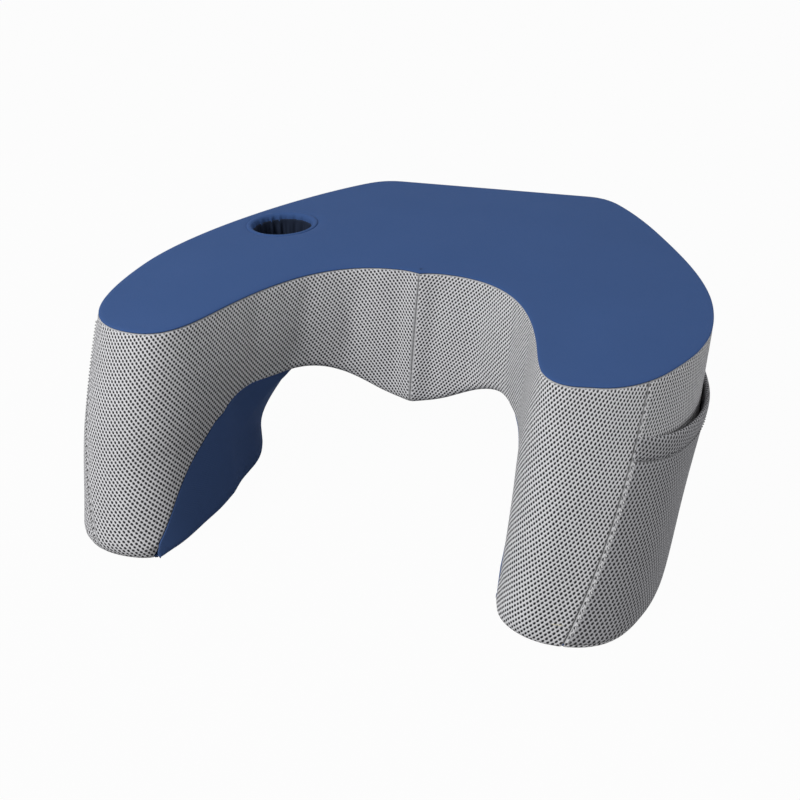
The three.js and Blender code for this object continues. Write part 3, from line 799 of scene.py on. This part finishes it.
def make_foam():
    """The foam core, with softened edges and a little smaller than the cover."""
    shape = bpy.data.meshes.new("foam")
    work = bmesh.new()
    work.from_mesh(NODES["foam_core"].data)
    bmesh.ops.remove_doubles(work, verts=work.verts, dist=1e-6)
    bmesh.ops.subdivide_edges(work, edges=work.edges, cuts=1, use_grid_fill=True)
    for _ in range(3):
        bmesh.ops.smooth_vert(work, verts=work.verts, factor=0.4,
                              use_axis_x=True, use_axis_y=True, use_axis_z=True)
    work.normal_update()
    for vertex in work.verts:
        x, z = vertex.co.x - MIDDLE, vertex.co.z
        forward = (REAR - vertex.co.y) / (1 + FOOT_REACH / TOP_DEPTH * (1 - z / HEIGHT))
        on_arm = ramp(forward, *FOAM_ARM_FROM)
        set_in = FOAM_SET_IN + RIGHT_SHORT[1] * ramp(forward, *FOAM_TIP_FROM) * ramp(x, *FOAM_TIP_OUT_FROM)
        set_in += LEFT_SLIM * ramp(-x, *FOAM_SLIM_FROM) * (1 - ramp(z, *FOAM_SLIM_TO)) * on_arm
        behind = on_arm * (1 - ramp(forward, *FOAM_POCKET_TO))
        set_in += 2 * POCKET_RECESS * ramp(x, *FOAM_POCKET_FROM) * behind
        vertex.co = vertex.co - float(set_in) * vertex.normal
        if z < CREST - FOAM_BELOW_CREST:
            vertex.co.y -= FOAM_LEAN * float(rear_lean(vertex.co.y - REAR, z))
    work.to_mesh(shape)
    work.free()
    shape.shade_smooth()
    obj = bpy.data.objects.new("foam", shape)
    bpy.context.scene.collection.objects.link(obj)
    place(obj, FOAM, "foam", "foam_core")


# Top panel

# Sections of the sewn edge, in from the wall and up from the work surface, and of the cup hole's edge, out
# from the hole and down
TOP_EDGE = [(0.0020, -0.0026), (0.0007, -0.0023), (0.0001, -0.0019), (0.0, -0.0014), (0.0004, -0.0009),
            (0.0013, -0.0005), (0.0027, -0.00025), (0.0046, -0.0001), (0.0070, 0.0)]
HOLE_EDGE = [(0, 0.0022), (0.0012, 0.0009), (0.003, 0.0003), (0.007, 0.0)]
TOP_CLOTH, TOP_STEP = 0.0016, 0.009
CROWN, RIPPLE = 0.0012, 0.0003
CUP_AT = np.array([(CUP_LOW.x + CUP_HIGH.x) / 2, (CUP_LOW.y + CUP_HIGH.y) / 2])


def inside(point, loop):
    """Whether a point of the plan lies inside a closed outline."""
    x, y = loop[:, 0], loop[:, 1]
    x2, y2 = np.roll(x, -1), np.roll(y, -1)
    cross = (y > point[1]) != (y2 > point[1])
    at = x + (point[1] - y) / np.where(y2 == y, 1, y2 - y) * (x2 - x)
    return bool((cross & (point[0] < at)).sum() % 2)


def round_cup(radius, turn, z):
    """Points round the middle of the cup well."""
    x, y = CUP_AT[0] + radius * np.cos(turn), CUP_AT[1] + radius * np.sin(turn)
    return np.stack(np.broadcast_arrays(x, y, z), -1)


def top_plan(outer, inner):
    """Points and triangles of the flat of the top, between its outline and the cup hole's."""
    xs = np.arange(TOP_LOW.x, TOP_HIGH.x, TOP_STEP)
    ys = np.arange(TOP_LOW.y, TOP_HIGH.y, TOP_STEP)
    grid = np.stack(np.meshgrid(xs, ys), -1).reshape(-1, 2)
    odd = np.round((grid[:, 1] - ys[0]) / TOP_STEP) % 2
    grid[:, 0] += np.where(odd == 0, 0.0, TOP_STEP / 2)
    clear = TOP_STEP * 0.55
    hole = np.hypot(*(inner[0] - CUP_AT))
    keep = [g for g in grid if inside(g, outer) and np.hypot(*(g - outer).T).min() > clear
            and np.hypot(*(g - CUP_AT)) > hole + clear]
    loops = [range(len(outer)), range(len(outer), len(outer) + len(inner))]
    edges = [(loop[k], loop[(k + 1) % len(loop)]) for loop in loops for k in range(len(loop))]
    flat = [Vector(p) for p in np.vstack([outer, inner, keep])]
    flat, _, triangles, _, _, _ = delaunay_2d_cdt(flat, edges, [], 0, 1e-7)
    flat = np.array([tuple(p) for p in flat])
    middles = [flat[list(t)].mean(0) for t in triangles]
    return flat, [tuple(t) for t, m in zip(triangles, middles) if inside(m, outer) and not inside(m, inner)]


def make_top():
    """The blue work surface: a rounded sewn edge, a hole for the cup, and a slight crown."""
    stations = np.concatenate([np.linspace(0, BELLY_SEAM_AT, 420), -np.linspace(BELLY_SEAM_AT, 0, 420)[1:-1]])
    rings = [wall(stations, np.full(len(stations), HEIGHT + up), inset) for inset, up in TOP_EDGE]
    hole = (RIM_HIGH.x - RIM_LOW.x) / 2 - 0.001
    turn = np.linspace(0, 2 * math.pi, 120, endpoint=False)
    hole_rings = [round_cup(hole + out, turn, HEIGHT - down) for out, down in HOLE_EDGE]
    outer = rings[-1][:, :2]
    flat, faces = top_plan(outer, hole_rings[-1][:, :2])
    away = np.array([np.hypot(*(p - outer).T).min() for p in flat])
    crown = CROWN * ramp(away, 0.0, 0.07)
    ripple = RIPPLE * np.sin(flat[:, 0] * 41 + 1.3 * np.sin(flat[:, 1] * 23)) * ramp(away, 0.004, 0.05)
    points = np.column_stack([flat, HEIGHT + crown + ripple])
    for ring_set, first in ((rings, 0), (hole_rings, len(outer))):
        previous = np.arange(first, first + len(ring_set[0]))
        for ring in ring_set[-2::-1]:
            current = np.arange(len(points), len(points) + len(ring))
            points = np.vstack([points, ring])
            quads = zip(previous, np.roll(previous, -1), np.roll(current, -1), current)
            faces += [tuple(int(i) for i in quad) for quad in quads]
            previous = current
    obj = make_object("top_cover", points, faces, points[:, :2] - points[:, :2].min(0))
    weld(obj)
    face_up(obj)
    cloth_piece(obj, TOP_CLOTH, BLUE, "top_fabric", "top_panel")


# Mesh panels round the wall

def flat_edge(height):
    """An edge of a panel that runs at one height."""
    return lambda s: np.full(np.shape(s), height)


def mesh_panel(kind, word, ends, bottom, top, rise):
    """A panel of grey mesh, which stands for the solid of like name."""
    obj = wall_panel(f"{kind}_cover_{word}", ends, bottom, top, rise)
    cloth_piece(obj, MESH, GREY, "spacer_mesh", f"{kind}_mesh_{word}")


def make_walls():
    """Front, side and rear meshes, each swollen between its seams."""
    top = flat_edge(WALL_TOP)
    for side, word in ((1, "right"), (-1, "left")):
        mesh_panel("front", word, lambda z: (side * (BELLY_SEAM_AT + 0 * z), side * front_seam(z)),
                   lower_edge, top, FRONT_RISE)
        mesh_panel("side", word, lambda z: (side * front_seam(z), side * (REAR_END_AT + 0 * z)),
                   lower_edge, top, SIDE_RISE)

    def across(z):
        return -REAR_END_AT + 0 * z, REAR_END_AT + 0 * z

    mesh_panel("rear", "upper", across, flat_edge(ZIP_AT + ZIP_SLOT / 2), top, REAR_UPPER_RISE)
    mesh_panel("rear", "lower", across, lower_edge, flat_edge(ZIP_AT - ZIP_SLOT / 2), REAR_RISE)


# Underside

# Rows over the hump and crest, the shoulder, the leg's face and the foot's edge, each with the row before it
UNDER_ROWS = (30, 40, 24, 5)
UNDER_COLUMNS, SOLE_ROWS, BORDER_STATIONS = 96, 9, 900
SOLE_INSET = 0.0012
ON_LEG_FROM = (0.95, 1.20)

# Places p of the section at which the border isn't read, because the shoulder turns into the leg's face there
BORDER_SKIP = (1.84, 2.04)


def border_of(start, end, side):
    """Where the underside meets the wall between two stations: the section's p, and the distance along the
    desk."""
    stations = np.linspace(start, end, BORDER_STATIONS)
    points = wall(side * stations, lower_edge(side * stations), under_roll(stations), settled=False)
    x, y, z = side * (points[:, 0] - MIDDLE), points[:, 1] - REAR, points[:, 2]
    p = section_place(x, y, z, side)
    order = np.argsort(p, kind="stable")
    order = order[(p[order] < BORDER_SKIP[0]) | (p[order] > BORDER_SKIP[1])]
    return p[order], y[order]


def underside_half(side, p, along):
    """One half of the underside: p as in thigh_section, and along from the front border to the rear one."""
    stations, heights, _ = EDGES[side]
    foot = stations[heights <= 0.0]
    front, rear = (border_of(*ends, side) for ends in ((BELLY_SEAM_AT, foot.max()), (0, foot.min())))
    first, last = (np.interp(np.minimum(p, 3), *border)[:, None] for border in (front, rear))
    row = p[:, None]
    y = first + along * (last - first)
    x, z = thigh_section(np.broadcast_to(row, y.shape), y, side, FOOT_FILLET * window(along, *FILLET_OVER))
    haunch = window(x, *HAUNCH_OVER) * ramp(y - first, *HAUNCH_FROM) * (1 - ramp(y, *HAUNCH_TO))
    z = z - HAUNCH * haunch * np.clip(3 - row, 0, 1)
    strip = settle(np.stack([MIDDLE + side * x, REAR + y, z], -1))
    normal = unit(np.cross(np.gradient(strip, axis=0), np.gradient(strip, axis=1)))
    normal = normal * np.where(normal @ np.array([-side, 0, -0.5]) < 0, -1, 1)[..., None]
    rise, run, fade = REAR_PLUMP
    short = np.clip(1 - (last - y) / run, 0, 1)
    plump = rise * np.sqrt(1 - short**2) * ramp(row, *ON_LEG_FROM) * np.clip(4 - row, 0, 1)
    strip = strip + (plump * (1 - ramp(last - y, run, fade)))[..., None] * normal
    rim = wall(side * mix(foot.max(), foot.min(), along), np.full(len(along), SOLE_AT), SOLE_INSET)
    share = np.linspace(0, 1, SOLE_ROWS)[1:, None, None]
    return np.concatenate([strip, strip[-1] * (1 - share) + rim * share])


def make_underside():
    """Thigh arches, inner faces of the legs and bottoms of the feet, in one dark blue panel."""
    p = np.concatenate([[0]] + [np.linspace(k, k + 1, rows)[1:] for k, rows in enumerate(UNDER_ROWS)])
    along = np.linspace(0, 1, UNDER_COLUMNS)
    along = along - np.sin(2 * math.pi * along) / (2 * math.pi) * 0.5
    right, left = (underside_half(side, p, along) for side in (1, -1))
    points = np.concatenate([left[::-1], right[1:]])
    points[..., 2] = np.maximum(points[..., 2], UNDER_CLOTH)
    across = way_along(points[:, UNDER_COLUMNS // 2])
    weave = np.stack([np.broadcast_to(across[:, None], points.shape[:2]), points[..., 1]], -1)
    obj = make_grid("underside_cover", points, weave)
    weld(obj, 2e-6)
    face_up(obj, -1)
    cloth_piece(obj, UNDER_CLOTH, DARK_BLUE, "under_fabric", "underside_panel")


# Side pocket

def pocket_stand(s, z):
    """How far the pocket's outer face stands off the wall's own face, which is drawn in behind it."""
    return POCKET_CLEAR + (POCKET_STAND + POCKET_RECESS) * pocket_open(s, z)


def pocket_ends(z):
    """Stations of the pocket's front and rear ends at a height."""
    start = front_seam(z) - POCKET_SET_BACK
    return start, start - POCKET_WIDTH


def make_pocket():
    """The pocket's panel, and the folded hem along its lip."""
    fold_at = POCKET_LIP - POCKET_HEM
    panel = wall_panel("pocket_cover", pocket_ends, flat_edge(POCKET_BOTTOM),
                       lambda s: pocket_lip(s) - POCKET_HEM, POCKET_RISE, pocket_stand)
    # The pocket panel takes the darker copy of the mesh, which is painted shade
    cloth_piece(panel, MESH, SHADED_POCKET_GREY, "pocket_mesh", "pocket_panel")
    share = np.linspace(0, 1, 70)
    bend_at = POCKET_LIP - HEM_HALF
    section = ([(z, 0.0) for z in np.linspace(fold_at, bend_at, 12)]
               + [(bend_at + HEM_HALF * math.sin(t), HEM_HALF * (1 - math.cos(t)))
                  for t in np.linspace(0, math.pi, 9)[1:-1]]
               + [(z, 2 * HEM_HALF) for z in np.linspace(bend_at, fold_at, 12)])
    rows = []
    for z, depth in section:
        s = mix(*pocket_ends(z), share)
        crown = math.sin(math.pi * np.clip((z - fold_at) / POCKET_HEM, 0, 1))
        puff = HEM_PUFF * crown if depth < HEM_HALF else 0
        up = z + pocket_lip(s) - POCKET_LIP
        rows.append(wall(s, up, depth - puff - pocket_stand(s, up)))
    points = np.array(rows)
    run = np.broadcast_to(BELLY_SEAM_AT - TIP_AT + share * POCKET_WIDTH, points.shape[:2])
    around = np.broadcast_to(way_along(section)[:, None], points.shape[:2])
    hem = make_grid("pocket_lip", points, np.stack([run, around], -1))
    outward = wall_outward(sum(pocket_ends(fold_at)) / 2, fold_at)
    if hem.data.polygons[len(share) // 2].normal.dot(Vector(outward)) < 0:
        hem.data.flip_normals()
    # The hem takes the same darker copy of the mesh, which is painted shade
    cloth_piece(hem, 0.0012, SHADED_POCKET_GREY, "pocket_mesh", "pocket_hem")


# Cup well

# Section of the rolled lip: out from the mouth of the well, and up from the work surface
RIM_PROFILE = [(0.0066, 0.0003), (0.0048, 0.0009), (0.0030, 0.0008), (0.0014, 0.0), (0.0003, -0.0016),
               (-0.0003, -0.0040), (-0.0005, -0.0075), (-0.0004, -0.0110), (0.0010, -0.0110),
               (0.0014, -0.0060), (0.0026, -0.0024), (0.0066, -0.0008)]
LINING_TOP = HEIGHT - 0.006
LINING_CLOTH, LINING_SET_IN, LINING_TAPER = 0.0012, 0.0012, 0.0030
GATHER, SLACK, PUCKER = 0.0011, 0.0008, 0.0007
PAD, PAD_CROWN, PAD_SET_IN = 0.0022, 0.0018, 0.0042


def make_cup():
    """Gathered lining, padded base and puckered rim of the cup well."""
    mouth = (CUP_HIGH.x - CUP_LOW.x) / 2 - 0.002
    floor = CUP_BASE_TOP + 0.0015
    turn = np.linspace(0, 2 * math.pi, 241)
    depth = np.linspace(0, 1, 40)[:, None]
    gather = (np.sin(17 * turn + 0.8 * np.sin(3 * turn)) + 0.4 * np.sin(41 * turn)
              + 0.6 * np.sin(26 * turn + 1.7 * np.sin(2 * turn + 1)))
    gather = gather * (0.55 + 0.45 * np.cos(turn - 2.4))
    fold = GATHER * gather * ramp(depth, 0.0, 0.16) * (1 - 0.55 * depth)
    slack = SLACK * np.sin(math.pi * depth) * np.sin(2 * turn + 5 * depth)
    radius = mouth - LINING_TAPER * depth - LINING_SET_IN + fold + slack
    points = round_cup(radius, turn, mix(LINING_TOP, floor, depth))
    round_mouth = np.broadcast_to(turn * mouth, points.shape[:2])
    lining = make_grid("cup_gather", points, np.stack([round_mouth, points[..., 2]], -1))
    weld(lining)
    face_along(lining, lambda centre: (CUP_AT[0] - centre[0], CUP_AT[1] - centre[1], 0))
    # The lining takes the near-black painted shade of the well's inside
    cloth_piece(lining, LINING_CLOTH, SHADED_LINING, "under_fabric", "cup_lining")

    reach = np.linspace(0, 1, 16)[:, None]
    top = floor + PAD_CROWN * (1 - reach**2) - 0.0004 * (1 - np.cos(9 * turn)) * reach
    points = round_cup((mouth - PAD_SET_IN) * reach, turn, top)
    base = make_grid("cup_floor", points, points[..., :2] - CUP_AT)
    weld(base)
    face_up(base)
    thicken(base, PAD)
    # The pad at the bottom of the well takes the same painted shade
    place(base, SHADED_LINING, "under_fabric", "cup_base")

    profile = np.array(RIM_PROFILE + RIM_PROFILE[:1])
    out, up = profile[:, :1], profile[:, 1:]
    inward = (1 - ramp(out, -0.0005, 0.0030)) * ramp(-up, 0.0, 0.006)
    points = round_cup(mouth + out + PUCKER * gather * inward, turn, HEIGHT + up)
    around, round_mouth = np.broadcast_arrays(way_along(profile)[:, None], turn * mouth)
    rim = make_grid("cup_edge", points, np.stack([round_mouth, around], -1))
    weld(rim)
    place(rim, BLUE, "top_fabric", "cup_rim")


# Zip

TAPE_CLOTH, TAPE_WAVE = 0.0007, 0.00015
EASED_EDGE = 0.00018


def make_zip():
    """Woven tapes beside the teeth, and the finish of the zip's moulded and cast pieces."""
    for word in ("upper", "lower"):
        low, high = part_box(f"zip_tape_{word}")
        x, z = np.meshgrid(np.linspace(low.x, high.x, 120), np.linspace(low.z, high.z, 12))
        y = high.y + TAPE_WAVE * np.sin(x * 160 + z * 300)
        weave = np.stack([x - low.x, z - low.z], -1)
        obj = make_grid(f"zip_band_{word}", np.stack([x, y, z], -1), weave)
        face_along(obj, lambda centre: (0, 1, 0))
        cloth_piece(obj, TAPE_CLOTH, TAPE, "zip_tape", f"zip_tape_{word}")
    for name in ("teeth_upper", "teeth_lower", "top_stop_upper", "top_stop_lower", "bottom_stop", "slider",
                 "pull"):
        node = NODES["zip_" + name]
        node.data.materials.clear()
        node.data.materials.append(NYLON if name.startswith("teeth") else ZINC)
        bevel = node.modifiers.new("eased_edges", "BEVEL")
        bevel.width = EASED_EDGE
        bevel.segments = 2
        bevel.limit_method = "ANGLE"


# Stitching

# Length, gap and radius of the stitches
PLAIN_STITCH = (0.0036, 0.0022, 0.00042)
SEAM_STITCH = (0.0021, 0.0012, 0.0007)
SEAM_SLANT = 0.8
STITCH_SIDES, STITCH_RINGS = 6, 5


def stitches(name, path, outward, material, slot, sizes=PLAIN_STITCH, slant=0.0):
    """A row of stitches along a path of points, raised along outward at each point and slanted across it."""
    length, gap, radius = sizes
    along = way_along(path)
    share = np.linspace(0, 1, STITCH_RINGS)
    bend = np.sin(math.pi * share).clip(0, 1)[:, None]
    angle = np.arange(STITCH_SIDES)[:, None] * 2 * math.pi / STITCH_SIDES
    tube = np.array(grid_faces(STITCH_RINGS, STITCH_SIDES + 1))
    tube = tube // (STITCH_SIDES + 1) * STITCH_SIDES + tube % (STITCH_SIDES + 1) % STITCH_SIDES
    points, faces = [], []
    for start in np.arange(gap, along[-1] - length, length + gap):
        at = np.stack([np.interp(start + share * length, along, path[:, k]) for k in range(3)], -1)
        up = unit(np.array([np.interp(start + length / 2, along, outward[:, k]) for k in range(3)]))
        at = at + np.outer(slant * length * (share - 0.5), np.cross(up, unit(at[-1] - at[0])))
        across = np.cross(up, unit(at[-1] - at[0]))
        lift = at + up * radius * (1.6 * bend - 0.8)
        size = radius * (0.45 + 0.55 * np.sqrt(bend))
        first = len(points) * STITCH_RINGS * STITCH_SIDES
        last = first + (STITCH_RINGS - 1) * STITCH_SIDES
        points.append(lift[:, None] + size[:, None] * (np.cos(angle) * across + np.sin(angle) * up))
        faces += (first + tube).tolist()
        faces.append(list(range(first, first + STITCH_SIDES))[::-1])
        faces.append(list(range(last, last + STITCH_SIDES)))
    place(make_object(name, np.array(points), faces), material, slot)


def make_stitching():
    """Rows of stitches along the seams that show them."""
    z = np.linspace(0.012, WALL_TOP - 0.006, 240)
    for side, word in ((1, "right"), (-1, "left")):
        s = side * (front_seam(z) - 0.0030)
        stitches(f"stitch_side_{word}", wall(s, z, -0.0006), wall_outward(s, z), PALE_THREAD, "spacer_mesh",
                 SEAM_STITCH, SEAM_SLANT * side)
    z = POCKET_LIP - POCKET_HEM + 0.0022
    start, end = pocket_ends(z)
    s = np.linspace(start - 0.004, end + 0.004, 300)
    up = z + pocket_lip(s) - POCKET_LIP
    stand = pocket_stand(s, up)
    path = wall(s, up, -0.0008 - stand)
    stitches("stitch_hem", path, wall_outward(s, up, -stand), DARK_THREAD, "pocket_mesh")
    half = REAR_HALF - 0.006
    for up, word in ((-1, "lower"), (1, "upper")):
        x = np.linspace(MIDDLE - half, MIDDLE + half, 60)
        z = ZIP_AT + up * (ZIP_SLOT / 2 + 0.004)
        path = np.stack(np.broadcast_arrays(x, REAR + 0.0002, z), -1)
        outward = np.broadcast_to((0.0, 1.0, 0.0), path.shape)
        stitches(f"stitch_zip_{word}", path, outward, PALE_THREAD, "spacer_mesh")


# Studio

PHOTO_FOCUS = 1128.27
PHOTO_SIZE = 800
AZIMUTH, ELEVATION, ROLL = (math.radians(angle) for angle in (20.34, 28.52, -1.83))
CAMERA_AT = Vector((0.3498, -1.0193, 0.6359))
SENSOR = 36
WORLD_LIGHT = 0.34
FLOOR_GLOW = 0.97


def make_camera():
    """The photograph's camera, fitted to the object's outline."""
    ahead = Vector((-math.sin(AZIMUTH) * math.cos(ELEVATION), math.cos(AZIMUTH) * math.cos(ELEVATION),
                    -math.sin(ELEVATION)))
    right = Vector((math.cos(AZIMUTH), math.sin(AZIMUTH), 0))
    up = right.cross(ahead)
    rolled_right = math.cos(ROLL) * right + math.sin(ROLL) * up
    rolled_up = -math.sin(ROLL) * right + math.cos(ROLL) * up
    data = bpy.data.cameras.new("camera")
    data.sensor_width = SENSOR
    data.lens = SENSOR * PHOTO_FOCUS / PHOTO_SIZE
    camera = bpy.data.objects.new("camera", data)
    turn = Matrix((rolled_right, rolled_up, -ahead)).transposed()
    camera.matrix_world = Matrix.Translation(CAMERA_AT) @ turn.to_4x4()
    bpy.context.scene.collection.objects.link(camera)
    bpy.context.scene.camera = camera


def lamp(name, at, towards, size, watts):
    """A square soft light."""
    data = bpy.data.lights.new(name, "AREA")
    data.size = size
    data.energy = watts
    obj = bpy.data.objects.new(name, data)
    obj.location = at
    obj.rotation_euler = (Vector(towards) - Vector(at)).to_track_quat("-Z", "Y").to_euler()
    bpy.context.scene.collection.objects.link(obj)


def seen_share(tree):
    """1 for what the camera sees, straight or in a reflection."""
    path = tree.nodes.new("ShaderNodeLightPath")
    share = path.outputs["Is Camera Ray"]
    for name in ("Is Glossy Ray", "Is Transmission Ray"):
        node = tree.nodes.new("ShaderNodeMath")
        node.operation = "MAXIMUM"
        tree.links.new(share, node.inputs[0])
        tree.links.new(path.outputs[name], node.inputs[1])
        share = node.outputs[0]
    return share


def make_studio():
    """A pale floor, a white surround and soft light from the left."""
    scene = bpy.context.scene
    scene.view_settings.view_transform = "Standard"
    world = bpy.data.worlds.new("studio")
    world.use_nodes = True
    scene.world = world
    tree = world.node_tree
    strength = tree.nodes.new("ShaderNodeMapRange")
    strength.inputs["To Min"].default_value = WORLD_LIGHT
    strength.inputs["To Max"].default_value = 1.0
    tree.links.new(seen_share(tree), strength.inputs[0])
    tree.nodes["Background"].inputs[0].default_value = rgb(1, 1, 1)
    tree.links.new(strength.outputs[0], tree.nodes["Background"].inputs[1])

    bpy.ops.mesh.primitive_plane_add(size=60, location=(0, 0, -0.0006))
    floor = bpy.context.object
    floor.name = "floor"
    paper = Shader("paper", {"Base Color": rgb(0.22, 0.22, 0.22), "Roughness": 0.9,
                             "Specular IOR Level": 0.0})
    glow = paper.node("Emission").outputs[0]
    lift = paper.math("MULTIPLY", seen_share(paper.tree), FLOOR_GLOW)
    shown = paper.add("MixShader", (lift, paper.surface.outputs[0], glow))
    paper.put(paper.tree.nodes["Material Output"].inputs[0], shown)
    floor.data.materials.append(paper.material)

    lamp("key", at=(-1.15, -1.7, 1.9), towards=(0, -0.05, 0.1), size=1.3, watts=58)
    lamp("side", at=(2.2, 0.2, 0.35), towards=(0.2, -0.1, 0.1), size=1.0, watts=15)


make_camera()
make_studio()
make_foam()
make_top()
make_walls()
make_underside()
make_pocket()
make_cup()
make_zip()
make_stitching()
